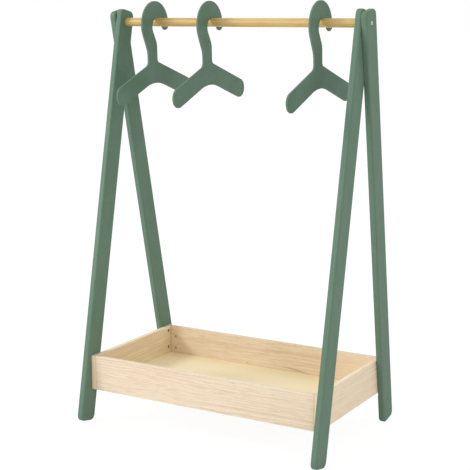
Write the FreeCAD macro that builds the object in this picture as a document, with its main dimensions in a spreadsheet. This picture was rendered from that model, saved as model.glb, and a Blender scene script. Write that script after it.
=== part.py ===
import FreeCAD, Part
import math
import os
import re
from enum import IntEnum
import Sketcher

Vector = FreeCAD.Vector
Rotation = FreeCAD.Rotation

# Driving dimensions in millimetres and degrees. X runs along the bar, -Y is the front, Z is up.
SIZES = {
    # Legs: two battens at each end, crossed on the axis of the bar
    "bar_axis_height": 980.0,
    "leg_width": 53.5,
    "leg_thickness": 16.0,
    "leg_edge_radius": 4.0,
    "leg_corner_radius": 14.0,
    "leg_top": 29.5,
    "leg_setback": 5.1,
    "housing_clearance": 0.2,
    # Bar that carries the hangers
    "bar_diameter": 21.0,
    "bar_bolt_diameter": 6.0,
    "bar_bolt_head_diameter": 10.0,
    "bar_bolt_head_height": 3.0,
    "bar_bolt_recess": 4.0,
    "bar_bolt_reach": 18.0,
    "bar_bolt_socket_width": 4.0,
    "bar_bolt_socket_depth": 2.0,
    "insert_diameter": 10.0,
    "insert_length": 20.0,
    # Tray between the legs
    "tray_length": 629.0,
    "tray_depth": 352.0,
    "tray_lift": 80.0,
    "board_height": 86.0,
    "board_thickness": 12.0,
    "board_edge_radius": 1.0,
    "board_end_radius": 2.0,
    "panel_thickness": 5.0,
    "panel_lift": 8.5,
    "groove_depth": 5.0,
    "groove_clearance": 0.3,
    # Screws from inside the tray into the legs
    "leg_screw_diameter": 4.0,
    "leg_screw_head_diameter": 8.0,
    "leg_screw_head_height": 2.5,
    "leg_screw_bite": 11.0,
    "leg_screw_socket_width": 3.0,
    "leg_screw_socket_depth": 1.6,
    "leg_screw_inset": 10.0,
    "leg_screw_drop": 11.5,
    "leg_screw_spacing": 45.0,
    # Bolts and barrel nuts that draw the tray's corners together
    "corner_bolt_diameter": 3.0,
    "corner_bolt_head_diameter": 6.5,
    "corner_bolt_head_height": 3.0,
    "corner_bolt_recess": 4.0,
    "corner_bolt_reach": 6.0,
    "corner_bolt_socket_width": 2.5,
    "corner_bolt_socket_depth": 2.0,
    "corner_bolt_spacing": 32.0,
    "barrel_nut_diameter": 6.0,
    "barrel_nut_length": 9.5,
    "barrel_nut_inset": 16.0,
    "barrel_nut_slot_width": 1.2,
    "barrel_nut_slot_depth": 1.2,
    "fastener_clearance": 0.15,
    "cut_overrun": 30.0,
    # Hangers cut from flat board, drawn about the axis of the bar
    "hanger_thickness": 6.0,
    "hanger_edge_radius": 1.8,
    "hanger_tilt": 2.0,
    "hook_clearance": 0.3,
    "hook_radius": 22.5,
    "hook_tip_angle": 3.0,
    "crown_radius": 56.4,
    "crown_forward": 9.0,
    "crown_drop": 5.6,
    "neck_forward": 23.3,
    "neck_width": 37.6,
    "neck_front_slope": 24.0,
    "neck_back_slope": 28.0,
    "neck_front_radius": 50.0,
    "neck_back_radius": 40.0,
    "shoulder_front_radius": 14.0,
    "shoulder_back_radius": 10.0,
    "wing_angle": 20.0,
    "wing_radius": 22.7,
    "wing_reach": 139.2,
    "wing_forward": 14.35,
    "wing_drop": 166.0,
    "arch_radius": 118.0,
    # Places of the hangers from the middle of the bar, as shares of its length
    "hanger_left_place_share": -0.359,
    "hanger_middle_place_share": -0.11,
    "hanger_right_place_share": 0.3555,
}


class Spot(IntEnum):
    """A point that a sketch's line or arc is held by."""

    START = 1
    END = 2
    CENTRE = 3


ORIGIN = (-1, Spot.START)
SIDES = {"left": -1, "right": 1}
ENDS = {"front": -1, "back": 1}
ALONG_SHARE = 0.99

# Sizes that follow from the driving ones, as formulas for the sheet
HALF_TRAY = "tray_length / 2"
LEAN = "atan((tray_depth / 2 - leg_setback) / (bar_axis_height - tray_lift - board_height / 2))"
FOOT_SETBACK = f"(leg_width / 2 - leg_corner_radius) * sin({LEAN})"
FOOT_CENTRE = f"(leg_corner_radius - bar_axis_height + {FOOT_SETBACK}) / cos({LEAN})"
SEAT_TOP = f"(tray_lift + board_height - bar_axis_height) / cos({LEAN}) + leg_width / 2 * tan({LEAN})"
SEAT_BOTTOM = f"(tray_lift - bar_axis_height) / cos({LEAN}) - leg_width / 2 * tan({LEAN})"
SPLAY = f"atan(leg_thickness / (leg_top - ({SEAT_TOP})))"
SPLAY_REACH = f"leg_top - ({FOOT_CENTRE}) - (leg_thickness - leg_edge_radius) * sin({SPLAY})"
BOARD_MIDDLE = "tray_depth / 2 - board_thickness / 2"
LEG_SCREW_Y = "tray_depth / 2 - board_thickness - leg_screw_inset"
LEG_SCREW_Z = ("board_height - leg_screw_drop", "board_height - leg_screw_drop - leg_screw_spacing")
CORNER_BOLT_Z = tuple(f"board_height / 2 {sign} corner_bolt_spacing / 2" for sign in "-+")
NUT_X = f"{HALF_TRAY} - board_thickness - barrel_nut_inset"

# The hook's rounded tip touches both the crown's circle and the circle that rests on the bar
HOOK_CENTRE = "bar_diameter / 2 + hook_clearance - hook_radius"
CROWN_RISE = f"(crown_drop + {HOOK_CENTRE})"
TIP_SHIFT = f"({CROWN_RISE} * sin(hook_tip_angle * 1deg) - crown_forward * cos(hook_tip_angle * 1deg))"
TIP_SPAN = f"crown_forward ^ 2 + {CROWN_RISE} ^ 2 + crown_radius ^ 2 - hook_radius ^ 2"
TIP_REACH = f"({TIP_SHIFT} + crown_radius + hook_radius)"
HOOK_TIP_RADIUS = f"({TIP_SPAN} + 2 * crown_radius * {TIP_SHIFT}) / (2 * {TIP_REACH})"

doc = FreeCAD.newDocument("kids_clothing_rack")
sheet = doc.addObject("Spreadsheet::Sheet", "Sizes")
for row, (alias, value) in enumerate(SIZES.items(), start=1):
    sheet.set(f"A{row}", alias)
    sheet.set(f"B{row}", str(value))
    sheet.setAlias(f"B{row}", alias)
doc.recompute()
nodes = []


def sized(formula):
    """Write a formula of named sizes as an expression on the sheet."""
    return re.sub(r"[a-z]+(?:_[a-z]+)+", lambda word: f"Sizes.{word.group()}", formula)


def number(formula):
    """Work out a formula of named sizes."""
    result = sheet.evalExpression(sized(formula))
    return float(getattr(result, "Value", result))


def bind(thing, **formulas):
    """Bind properties to formulas; a double underscore in a name stands for a dot."""
    for name, formula in formulas.items():
        thing.setExpression(name.replace("__", "."), sized(formula))


def bind_place(thing, x, y, z):
    """Bind the three coordinates of a placement."""
    bind(thing, Placement__Base__x=x, Placement__Base__y=y, Placement__Base__z=z)


def new_body(label):
    """Start a body that becomes a node of the rack."""
    body = doc.addObject("PartDesign::Body", label)
    nodes.append(body)
    return body


def new_sketch(body, role, offset="0", slide=("0", "0"), turn="0"):
    """Attach a sketch to an origin plane, moved along its normal and in the plane, then turned."""
    sketch = body.newObject("Sketcher::SketchObject", "sketch")
    plane = next(item for item in body.Origin.OriginFeatures if item.Role == role)
    sketch.AttachmentSupport = [(plane, "")]
    sketch.MapMode = "FlatFace"
    sketch.AttachmentOffset = FreeCAD.Placement(Vector(), Rotation(Vector(0, 0, 1), number(turn)))
    bind(sketch, AttachmentOffset__Base__x=slide[0], AttachmentOffset__Base__y=slide[1])
    bind(sketch, AttachmentOffset__Base__z=offset, AttachmentOffset__Rotation__Angle=turn)
    return sketch


def constrain(sketch, kind, *geometry, formula):
    """Add a dimension that follows a formula."""
    value = number(formula)
    value = math.radians(value) if kind == "Angle" else value
    index = sketch.addConstraint(Sketcher.Constraint(kind, *geometry, value))
    sketch.setExpression(f"Constraints[{index}]", sized(formula))


def add_rectangle(sketch, left, right, bottom, top):
    """Draw a rectangle between four formulas."""
    xs = (number(left), number(right))
    ys = (number(bottom), number(top))
    corners = [Vector(xs[0], ys[0]), Vector(xs[1], ys[0]), Vector(xs[1], ys[1]), Vector(xs[0], ys[1])]
    lines = [sketch.addGeometry(Part.LineSegment(corners[i], corners[(i + 1) % 4])) for i in range(4)]
    for i, line in enumerate(lines):
        after = lines[(i + 1) % 4]
        sketch.addConstraint(Sketcher.Constraint("Coincident", line, Spot.END, after, Spot.START))
        sketch.addConstraint(Sketcher.Constraint("Vertical" if i % 2 else "Horizontal", line))
    constrain(sketch, "DistanceX", *ORIGIN, lines[0], Spot.START, formula=left)
    constrain(sketch, "DistanceX", *ORIGIN, lines[1], Spot.END, formula=right)
    constrain(sketch, "DistanceY", *ORIGIN, lines[0], Spot.START, formula=bottom)
    constrain(sketch, "DistanceY", *ORIGIN, lines[1], Spot.END, formula=top)


def add_circle(sketch, x, y, diameter):
    """Draw a circle about a centre given by two formulas."""
    shape = Part.Circle(Vector(number(x), number(y)), Vector(0, 0, 1), number(diameter) / 2)
    circle = sketch.addGeometry(shape)
    constrain(sketch, "Diameter", circle, formula=diameter)
    constrain(sketch, "DistanceX", *ORIGIN, circle, Spot.CENTRE, formula=x)
    constrain(sketch, "DistanceY", *ORIGIN, circle, Spot.CENTRE, formula=y)


def extrude(body, kind, sketch, length=None, towards=1, symmetric=False):
    """Pad or pocket a sketch along (1) or against (-1) its normal; with no length it goes through all."""
    doc.recompute()
    feature = body.newObject(f"PartDesign::{kind}", kind.lower())
    feature.Profile = sketch
    along = 1 if kind == "Pad" else -1
    feature.Reversed = towards != along
    feature.SideType = "Symmetric" if symmetric else "One side"
    if length is None:
        feature.Type = "ThroughAll"
    else:
        bind(feature, Length=length)
    doc.recompute()
    return feature


def pocket(body, sketch, **how):
    """Cut a pocket and make sure that it takes something away."""
    before = body.Tip.Shape.Volume
    feature = extrude(body, "Pocket", sketch, **how)
    if feature.Shape.Volume >= before:
        raise ValueError(f"a pocket in {body.Label} cuts nothing")


def round_edges(body, radius, parts=None):
    """Round all edges of the body so far, or only the named edges and those around the named faces."""
    base = body.Tip
    fillet = body.newObject("PartDesign::Fillet", "rounding")
    fillet.Base = (base, parts or [])
    fillet.UseAllEdges = parts is None
    bind(fillet, Radius=radius)
    doc.recompute()


def flat_faces(body):
    """Name the body's flat faces that look along X."""
    faces = enumerate(body.Tip.Shape.Faces, start=1)
    return [f"Face{index}" for index, face in faces if abs(face.normalAt(0, 0).x) > ALONG_SHARE]


def cross_edges(body):
    """Name the body's edges that run along X."""
    ways = enumerate((edge.tangentAt(edge.FirstParameter) for edge in body.Tip.Shape.Edges), start=1)
    return [f"Edge{index}" for index, way in ways if abs(way.x) > ALONG_SHARE]


def round_leg(body):
    """Round a leg's four corners, then the edges of its broad faces."""
    round_edges(body, "leg_corner_radius", cross_edges(body))
    round_edges(body, "leg_edge_radius", flat_faces(body))


def drill(body, places, diameter, offset, towards, depth=None):
    """Drill holes along X at (y, z) places, starting from the plane at the offset."""
    sketch = new_sketch(body, "YZ_Plane", offset)
    for y, z in places:
        add_circle(sketch, y, z, diameter)
    pocket(body, sketch, length=depth, towards=towards)


def stand(kind, axis, x, y, z, **sizes):
    """Stand a primitive on a point, along an axis."""
    thing = doc.addObject(f"Part::{kind}", kind.lower())
    thing.Placement = FreeCAD.Placement(Vector(), Rotation(Vector(0, 0, 1), axis))
    bind_place(thing, x, y, z)
    bind(thing, **sizes)
    return thing


def cylinder(axis, x, y, z, diameter, length):
    """Make a cylinder from a centre point along an axis."""
    return stand("Cylinder", axis, x, y, z, Radius=f"({diameter}) / 2", Height=length)


def combine(kind, base, tool):
    """Fuse two shapes or cut the second from the first."""
    result = doc.addObject(f"Part::{kind}", kind.lower())
    result.Base = base
    result.Tool = tool
    return result


def headed_pin(side, x, y, z, name, length):
    """Make a socket screw whose head starts at x, with its shank along X (side 1) or against it (-1)."""
    place = (Vector(side, 0, 0), x, y, z)
    head = cylinder(*place, f"{name}_head_diameter", f"{name}_head_height")
    shank = cylinder(*place, f"{name}_diameter", length)
    circumradius = f"{name}_socket_width / sqrt(3)"
    socket = stand("Prism", *place, Circumradius=circumradius, Height=f"{name}_socket_depth")
    return combine("Cut", combine("Fuse", head, shank), socket)


def group(label, members):
    """Gather identical fasteners in one node."""
    compound = doc.addObject("Part::Compound", label)
    compound.Links = members
    nodes.append(compound)


def leg_screw_places(end):
    """Give the leg screws' places in a leg's own frame, which leans about the bar's axis."""
    places = []
    for height in LEG_SCREW_Z:
        y = f"{end} * ({LEG_SCREW_Y})"
        z = f"(tray_lift + {height} - bar_axis_height)"
        along = f"{y} * cos({LEAN}) + {end} * {z} * sin({LEAN})"
        up = f"{z} * cos({LEAN}) - {end} * {y} * sin({LEAN})"
        places.append((along, up))
    return places


def lean_leg(body, end):
    """Turn a leg about the bar's axis."""
    body.Placement = FreeCAD.Placement(Vector(), Rotation(Vector(1, 0, 0), end * number(LEAN)))
    bind(body, Placement__Base__z="bar_axis_height", Placement__Rotation__Angle=f"{end} * {LEAN}")


def make_front_leg(name, side):
    """Make a front leg: a straight batten against the tray's end."""
    body = new_body(f"front_leg_{name}")
    inner = f"{side} * {HALF_TRAY}"
    sketch = new_sketch(body, "YZ_Plane", inner)
    add_rectangle(sketch, "-leg_width / 2", "leg_width / 2", f"{FOOT_CENTRE} - leg_corner_radius", "leg_top")
    extrude(body, "Pad", sketch, "leg_thickness", side)
    round_leg(body)
    drill(body, [("0", "0")], "bar_bolt_diameter + 2 * fastener_clearance", inner, side)
    pilot = "leg_screw_diameter + 2 * fastener_clearance"
    drill(body, leg_screw_places(ENDS["front"]), pilot, inner, side, "leg_screw_bite + fastener_clearance")
    lean_leg(body, ENDS["front"])


def make_back_leg(name, side):
    """Make a back leg: outside the front leg at the bar, drawn in to the tray's end lower down."""
    body = new_body(f"back_leg_{name}")
    seat = f"{side} * ({HALF_TRAY} + leg_thickness)"
    inner = f"{side} * {HALF_TRAY}"
    sketch = new_sketch(body, "XZ_Plane", slide=(seat, "leg_top"), turn=f"{-side} * {SPLAY}")
    flanks = ("0", "leg_thickness") if side > 0 else ("-leg_thickness", "0")
    add_rectangle(sketch, *flanks, f"-(({SPLAY_REACH}) / cos({SPLAY}) + leg_corner_radius)", "0")
    extrude(body, "Pad", sketch, "leg_width", symmetric=True)
    round_leg(body)
    # Housing in which the front leg lies flat
    housing = new_sketch(body, "YZ_Plane", seat, turn=f"-2 * {LEAN}")
    half_width = "leg_width / 2 + housing_clearance"
    half_length = f"leg_width / tan({LEAN})"
    add_rectangle(housing, f"-({half_width})", half_width, f"-({half_length})", half_length)
    pocket(body, housing, towards=-side)
    # Flat seat against the tray's end
    flat = new_sketch(body, "XZ_Plane")
    edges = (f"{inner} - cut_overrun", inner) if side > 0 else (inner, f"{inner} + cut_overrun")
    add_rectangle(flat, *edges, SEAT_BOTTOM, SEAT_TOP)
    pocket(body, flat, symmetric=True)
    drill(body, [("0", "0")], "bar_bolt_diameter + 2 * fastener_clearance", inner, side)
    recess = f"{side} * ({HALF_TRAY} + 2 * leg_thickness - bar_bolt_recess)"
    drill(body, [("0", "0")], "bar_bolt_head_diameter + 2 * fastener_clearance", recess, side)
    pilot = "leg_screw_diameter + 2 * fastener_clearance"
    drill(body, leg_screw_places(ENDS["back"]), pilot, inner, side, "leg_screw_bite + fastener_clearance")
    lean_leg(body, ENDS["back"])


def make_bar():
    """Make the round bar, bored at both ends for its threaded inserts."""
    body = new_body("hanging_bar")
    sketch = new_sketch(body, "YZ_Plane")
    add_circle(sketch, "0", "0", "bar_diameter")
    extrude(body, "Pad", sketch, "tray_length", symmetric=True)
    for side in SIDES.values():
        bore = "insert_diameter + 2 * fastener_clearance"
        drill(body, [("0", "0")], bore, f"{side} * {HALF_TRAY}", -side, "insert_length")
    bind(body, Placement__Base__z="bar_axis_height")


def make_bar_fixing(name, side):
    """Make the threaded insert in one end of the bar and the bolt that holds both legs to it."""
    body = new_body(f"bar_insert_{name}")
    sketch = new_sketch(body, "YZ_Plane", f"{side} * {HALF_TRAY}")
    add_circle(sketch, "0", "0", "insert_diameter")
    add_circle(sketch, "0", "0", "bar_bolt_diameter + 2 * fastener_clearance")
    extrude(body, "Pad", sketch, "insert_length", -side)
    bind(body, Placement__Base__z="bar_axis_height")
    head_seat = f"{HALF_TRAY} + 2 * leg_thickness - bar_bolt_recess"
    head_top = f"{side} * ({head_seat} + bar_bolt_head_height)"
    length = "2 * leg_thickness - bar_bolt_recess + bar_bolt_head_height + bar_bolt_reach"
    bolt = headed_pin(-side, head_top, "0", "bar_axis_height", "bar_bolt", length)
    group(f"bar_bolt_{name}", [bolt])


def cut_groove(body, role, inner, inward, length):
    """Cut the groove that holds the tray's bottom in the inner face of a board."""
    groove = new_sketch(body, role, inner)
    add_rectangle(groove, f"-({length}) / 2", f"({length}) / 2", "panel_lift - groove_clearance",
                  "panel_lift + panel_thickness + groove_clearance")
    pocket(body, groove, length="groove_depth", towards=-inward)


def make_side_board(name, side):
    """Make an end board of the tray, as long as the tray is deep."""
    body = new_body(f"tray_side_board_{name}")
    outer = f"{side} * {HALF_TRAY}"
    inner = f"{side} * ({HALF_TRAY} - board_thickness)"
    sketch = new_sketch(body, "YZ_Plane", inner)
    add_rectangle(sketch, "-tray_depth / 2", "tray_depth / 2", "0", "board_height")
    extrude(body, "Pad", sketch, "board_thickness", side)
    round_edges(body, "board_edge_radius")
    cut_groove(body, "YZ_Plane", inner, -side, "tray_depth - 2 * board_thickness + 2 * groove_depth")
    screws = [(f"{end} * ({LEG_SCREW_Y})", z) for end in ENDS.values() for z in LEG_SCREW_Z]
    drill(body, screws, "leg_screw_diameter + 2 * fastener_clearance", inner, side)
    head = "leg_screw_head_diameter + 2 * fastener_clearance"
    drill(body, screws, head, inner, side, "leg_screw_head_height")
    bolts = [(f"{end} * ({BOARD_MIDDLE})", z) for end in ENDS.values() for z in CORNER_BOLT_Z]
    drill(body, bolts, "corner_bolt_diameter + 2 * fastener_clearance", outer, -side)
    head = "corner_bolt_head_diameter + 2 * fastener_clearance"
    drill(body, bolts, head, outer, -side, "corner_bolt_recess")
    bind(body, Placement__Base__z="tray_lift")


def make_long_board(name, end):
    """Make the front or back board of the tray, held between the end boards."""
    body = new_body(f"tray_{name}_board")
    inner = f"{-end} * (tray_depth / 2 - board_thickness)"
    half_length = f"({HALF_TRAY} - board_thickness)"
    sketch = new_sketch(body, "XZ_Plane", inner)
    add_rectangle(sketch, f"-{half_length}", half_length, "0", "board_height")
    extrude(body, "Pad", sketch, "board_thickness", -end)
    round_edges(body, "board_end_radius", flat_faces(body))
    round_edges(body, "board_edge_radius", cross_edges(body))
    cut_groove(body, "XZ_Plane", inner, end, f"2 * {half_length}")
    nuts = new_sketch(body, "XZ_Plane", inner)
    for side in SIDES.values():
        for z in CORNER_BOLT_Z:
            add_circle(nuts, f"{side} * ({NUT_X})", z, "barrel_nut_diameter + 2 * fastener_clearance")
    pocket(body, nuts, length="barrel_nut_length", towards=-end)
    bolts = [(f"{end} * ({BOARD_MIDDLE})", z) for z in CORNER_BOLT_Z]
    bore = "corner_bolt_diameter + 2 * fastener_clearance"
    depth = "barrel_nut_inset + corner_bolt_reach + fastener_clearance"
    for side in SIDES.values():
        drill(body, bolts, bore, f"{side} * {half_length}", -side, depth)
    bind(body, Placement__Base__z="tray_lift")


def make_bottom_panel():
    """Make the thin bottom that slides in the grooves of the four boards."""
    body = new_body("tray_bottom_panel")
    sketch = new_sketch(body, "XY_Plane", "panel_lift")
    half_length = f"{HALF_TRAY} - board_thickness + groove_depth - groove_clearance"
    half_depth = "tray_depth / 2 - board_thickness + groove_depth - groove_clearance"
    add_rectangle(sketch, f"-({half_length})", half_length, f"-({half_depth})", half_depth)
    extrude(body, "Pad", sketch, "panel_thickness")
    bind(body, Placement__Base__z="tray_lift")


def make_tray_fasteners():
    """Make the leg screws, corner bolts and barrel nuts, each kind in one node."""
    screws = []
    bolts = []
    nuts = []
    for side in SIDES.values():
        for end in ENDS.values():
            for height in LEG_SCREW_Z:
                inner = f"{side} * ({HALF_TRAY} - board_thickness)"
                place = (inner, f"{end} * ({LEG_SCREW_Y})", f"tray_lift + {height}")
                screws.append(headed_pin(side, *place, "leg_screw", "board_thickness + leg_screw_bite"))
            for height in CORNER_BOLT_Z:
                middle = f"{end} * ({BOARD_MIDDLE})"
                level = f"tray_lift + {height}"
                head_top = f"{side} * ({HALF_TRAY} - corner_bolt_recess + corner_bolt_head_height)"
                length = ("board_thickness - corner_bolt_recess + corner_bolt_head_height"
                          " + barrel_nut_inset + corner_bolt_reach")
                bolts.append(headed_pin(-side, head_top, middle, level, "corner_bolt", length))
                nuts.append(make_barrel_nut(side, end, level))
    group("leg_screws", screws)
    group("corner_bolts", bolts)
    group("barrel_nuts", nuts)


def make_barrel_nut(side, end, level):
    """Make a barrel nut across a corner bolt, with a slot to turn it by."""
    inner = f"{end} * (tray_depth / 2 - board_thickness)"
    barrel = cylinder(Vector(0, end, 0), f"{side} * ({NUT_X})", inner, level, "barrel_nut_diameter",
                      "barrel_nut_length")
    start = f"{side} * ({NUT_X} - barrel_nut_diameter)"
    bore = cylinder(Vector(side, 0, 0), start, f"{end} * ({BOARD_MIDDLE})", level,
                    "corner_bolt_diameter + 2 * fastener_clearance", "2 * barrel_nut_diameter")
    slot = doc.addObject("Part::Box", "slot")
    slot_start = inner if end > 0 else f"{inner} - barrel_nut_slot_depth"
    slot_left = f"{side} * ({NUT_X}) - barrel_nut_diameter"
    bind_place(slot, slot_left, slot_start, f"{level} - barrel_nut_slot_width / 2")
    bind(slot, Length="2 * barrel_nut_diameter", Width="barrel_nut_slot_depth")
    bind(slot, Height="barrel_nut_slot_width")
    return combine("Cut", combine("Cut", barrel, bore), slot)


class Outline:
    """A closed outline of lines and arcs, each tangent to the next, drawn with its inside on the left."""

    def __init__(self, sketch):
        self.sketch = sketch
        self.pieces = []

    def line(self, start, end):
        """Add a line and return its index in the sketch."""
        index = self.sketch.addGeometry(Part.LineSegment(start, end))
        self.pieces.append((index, Spot.START, Spot.END))
        return index

    def arc(self, centre, start, end, turns_left):
        """Add an arc that turns left or right and return its index in the sketch."""
        first, last = (start, end) if turns_left else (end, start)
        angles = [math.atan2(point.y - centre.y, point.x - centre.x) for point in (first, last)]
        circle = Part.Circle(centre, Vector(0, 0, 1), (start - centre).Length)
        index = self.sketch.addGeometry(Part.ArcOfCircle(circle, *angles))
        self.pieces.append((index, Spot.START, Spot.END) if turns_left else (index, Spot.END, Spot.START))
        return index

    def close(self):
        """Make every piece tangent to the one after it."""
        for here, after in zip(self.pieces, self.pieces[1:] + self.pieces[:1]):
            joint = Sketcher.Constraint("Tangent", here[0], here[2], after[0], after[1])
            self.sketch.addConstraint(joint)


def meet(point, normal, distance, x):
    """Give the point at x that lies at a distance from the line through a point with a normal."""
    return Vector(x, point.y + (distance - (x - point.x) * normal.x) / normal.y)


def heading(degrees):
    """Give the unit vector at an angle from the sketch's X axis."""
    return Vector(math.cos(math.radians(degrees)), math.sin(math.radians(degrees)))


def draw_hanger(sketch):
    """Draw a hanger: a hook that swells over the bar, a bent neck and two drooping wings under an arch."""
    size = {alias: number(alias) for alias in SIZES}
    tip_radius = number(HOOK_TIP_RADIUS)
    crown = Vector(-size["crown_forward"], -size["crown_drop"])
    hook = Vector(0, number(HOOK_CENTRE))
    tip = crown + heading(-size["hook_tip_angle"]) * (size["crown_radius"] - tip_radius)
    neck_front = -size["neck_forward"] - size["neck_width"] / 2
    neck_back = -size["neck_forward"] + size["neck_width"] / 2
    front_wing = Vector(-size["wing_forward"] - size["wing_reach"], -size["wing_drop"])
    back_wing = Vector(-size["wing_forward"] + size["wing_reach"], -size["wing_drop"])
    front_up = heading(90 + size["wing_angle"])
    back_up = heading(90 - size["wing_angle"])
    wing = size["wing_radius"]

    # Centres and tangent points of the arcs, worked out so that the sketch starts solved
    crown_out = heading(180 + size["neck_front_slope"])
    crown_end = crown + crown_out * size["crown_radius"]
    bend = size["neck_front_radius"]
    bend_front = meet(crown_end, crown_out, bend, neck_front - bend)
    shoulder = size["shoulder_front_radius"]
    shoulder_front = meet(front_wing + front_up * wing, front_up, shoulder, neck_front - shoulder)
    shoulder = size["shoulder_back_radius"]
    shoulder_back = meet(back_wing + back_up * wing, back_up, shoulder, neck_back + shoulder)
    arch = meet(back_wing - back_up * wing, back_up, -size["arch_radius"], -size["wing_forward"])
    hook_in = heading(180 + size["neck_back_slope"])
    hook_start = hook + hook_in * size["hook_radius"]
    bend = size["neck_back_radius"]
    bend_back = meet(hook_start, hook_in * -1, -bend, neck_back - bend)
    tip_in = hook + (tip - hook).normalize() * size["hook_radius"]
    tip_out = crown + heading(-size["hook_tip_angle"]) * size["crown_radius"]

    bend_front_start = bend_front - crown_out * size["neck_front_radius"]
    bend_front_end = Vector(neck_front, bend_front.y)
    shoulder_front_start = Vector(neck_front, shoulder_front.y)
    shoulder_front_end = shoulder_front - front_up * size["shoulder_front_radius"]
    arch_start = arch + front_up * size["arch_radius"]
    arch_end = arch + back_up * size["arch_radius"]
    shoulder_back_start = shoulder_back - back_up * size["shoulder_back_radius"]
    shoulder_back_end = Vector(neck_back, shoulder_back.y)
    bend_back_start = Vector(neck_back, bend_back.y)
    bend_back_end = bend_back - hook_in * size["neck_back_radius"]

    outline = Outline(sketch)
    arcs = {}
    lines = {}
    arcs["crown_radius"] = outline.arc(crown, tip_out, crown_end, True)
    lines["neck_front_slope - 90"] = outline.line(crown_end, bend_front_start)
    arcs["neck_front_radius"] = outline.arc(bend_front, bend_front_start, bend_front_end, False)
    front_edge = outline.line(bend_front_end, shoulder_front_start)
    ends = (shoulder_front_start, shoulder_front_end)
    arcs["shoulder_front_radius"] = outline.arc(shoulder_front, *ends, False)
    lines["wing_angle - 180"] = outline.line(shoulder_front_end, front_wing + front_up * wing)
    front_tip = outline.arc(front_wing, front_wing + front_up * wing, front_wing - front_up * wing, True)
    lines["wing_angle"] = outline.line(front_wing - front_up * wing, arch_start)
    arcs["arch_radius"] = outline.arc(arch, arch_start, arch_end, False)
    lines["-wing_angle"] = outline.line(arch_end, back_wing - back_up * wing)
    back_tip = outline.arc(back_wing, back_wing - back_up * wing, back_wing + back_up * wing, True)
    lines["180 - wing_angle"] = outline.line(back_wing + back_up * wing, shoulder_back_start)
    ends = (shoulder_back_start, shoulder_back_end)
    arcs["shoulder_back_radius"] = outline.arc(shoulder_back, *ends, False)
    back_edge = outline.line(shoulder_back_end, bend_back_start)
    arcs["neck_back_radius"] = outline.arc(bend_back, bend_back_start, bend_back_end, True)
    lines["90 + neck_back_slope"] = outline.line(bend_back_end, hook_start)
    arcs["hook_radius"] = outline.arc(hook, hook_start, tip_in, False)
    arcs[HOOK_TIP_RADIUS] = outline.arc(tip, tip_in, tip_out, True)
    outline.close()

    for formula, arc in arcs.items():
        constrain(sketch, "Radius", arc, formula=formula)
    for formula, line in lines.items():
        constrain(sketch, "Angle", line, formula=f"({formula}) * 1deg")
    centres = {
        arcs["crown_radius"]: ("-crown_forward", "-crown_drop"),
        arcs["hook_radius"]: ("0", HOOK_CENTRE),
        front_tip: ("-wing_forward - wing_reach", "-wing_drop"),
        back_tip: ("-wing_forward + wing_reach", "-wing_drop"),
    }
    for arc, (x, y) in centres.items():
        constrain(sketch, "DistanceX", *ORIGIN, arc, Spot.CENTRE, formula=x)
        constrain(sketch, "DistanceY", *ORIGIN, arc, Spot.CENTRE, formula=y)
    for arc in (front_tip, back_tip):
        constrain(sketch, "Radius", arc, formula="wing_radius")
    for line, sign in ((front_edge, "-"), (back_edge, "+")):
        x = f"-neck_forward {sign} neck_width / 2"
        sketch.addConstraint(Sketcher.Constraint("Vertical", line))
        constrain(sketch, "DistanceX", *ORIGIN, line, Spot.START, formula=x)


def make_hanger(name):
    """Make a hanger from flat board with softened edges and hang it on the bar."""
    body = new_body(f"hanger_{name}")
    sketch = new_sketch(body, "YZ_Plane")
    draw_hanger(sketch)
    extrude(body, "Pad", sketch, "hanger_thickness", symmetric=True)
    round_edges(body, "hanger_edge_radius", flat_faces(body))
    body.Placement = FreeCAD.Placement(Vector(), Rotation(Vector(1, 0, 0), number("hanger_tilt")))
    bind(body, Placement__Rotation__Angle="hanger_tilt * 1deg")
    bind_place(body, f"tray_length * hanger_{name}_place_share", "0", "bar_axis_height")


def main():
    """Build the rack, check every object and write one file for each node."""
    for name, side in SIDES.items():
        make_front_leg(name, side)
        make_back_leg(name, side)
        make_bar_fixing(name, side)
        make_side_board(name, side)
    make_bar()
    for name, end in ENDS.items():
        make_long_board(name, end)
    make_bottom_panel()
    make_tray_fasteners()
    for name in ("left", "middle", "right"):
        make_hanger(name)
    doc.recompute()
    for thing in doc.Objects:
        if "Invalid" in thing.State or "Error" in thing.State:
            raise ValueError(f"{thing.Label} did not build: {thing.State}")
    os.makedirs("parts", exist_ok=True)
    for node in nodes:
        if node.Shape.isNull() or not node.Shape.isValid():
            raise ValueError(f"{node.Label} has no valid shape")
        node.Shape.exportStep(f"parts/{node.Label}.step")
        print(node.Label, len(node.Shape.Solids), round(node.Shape.Volume))


main()
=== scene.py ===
"""Finishes, light and camera for a low clothing rack with flat hangers and a floor tray."""

import logging
import math
from dataclasses import dataclass, replace
from enum import Enum
from typing import Any, Protocol

import bmesh
import bpy
from mathutils import Color, Euler, Matrix, Vector


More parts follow.
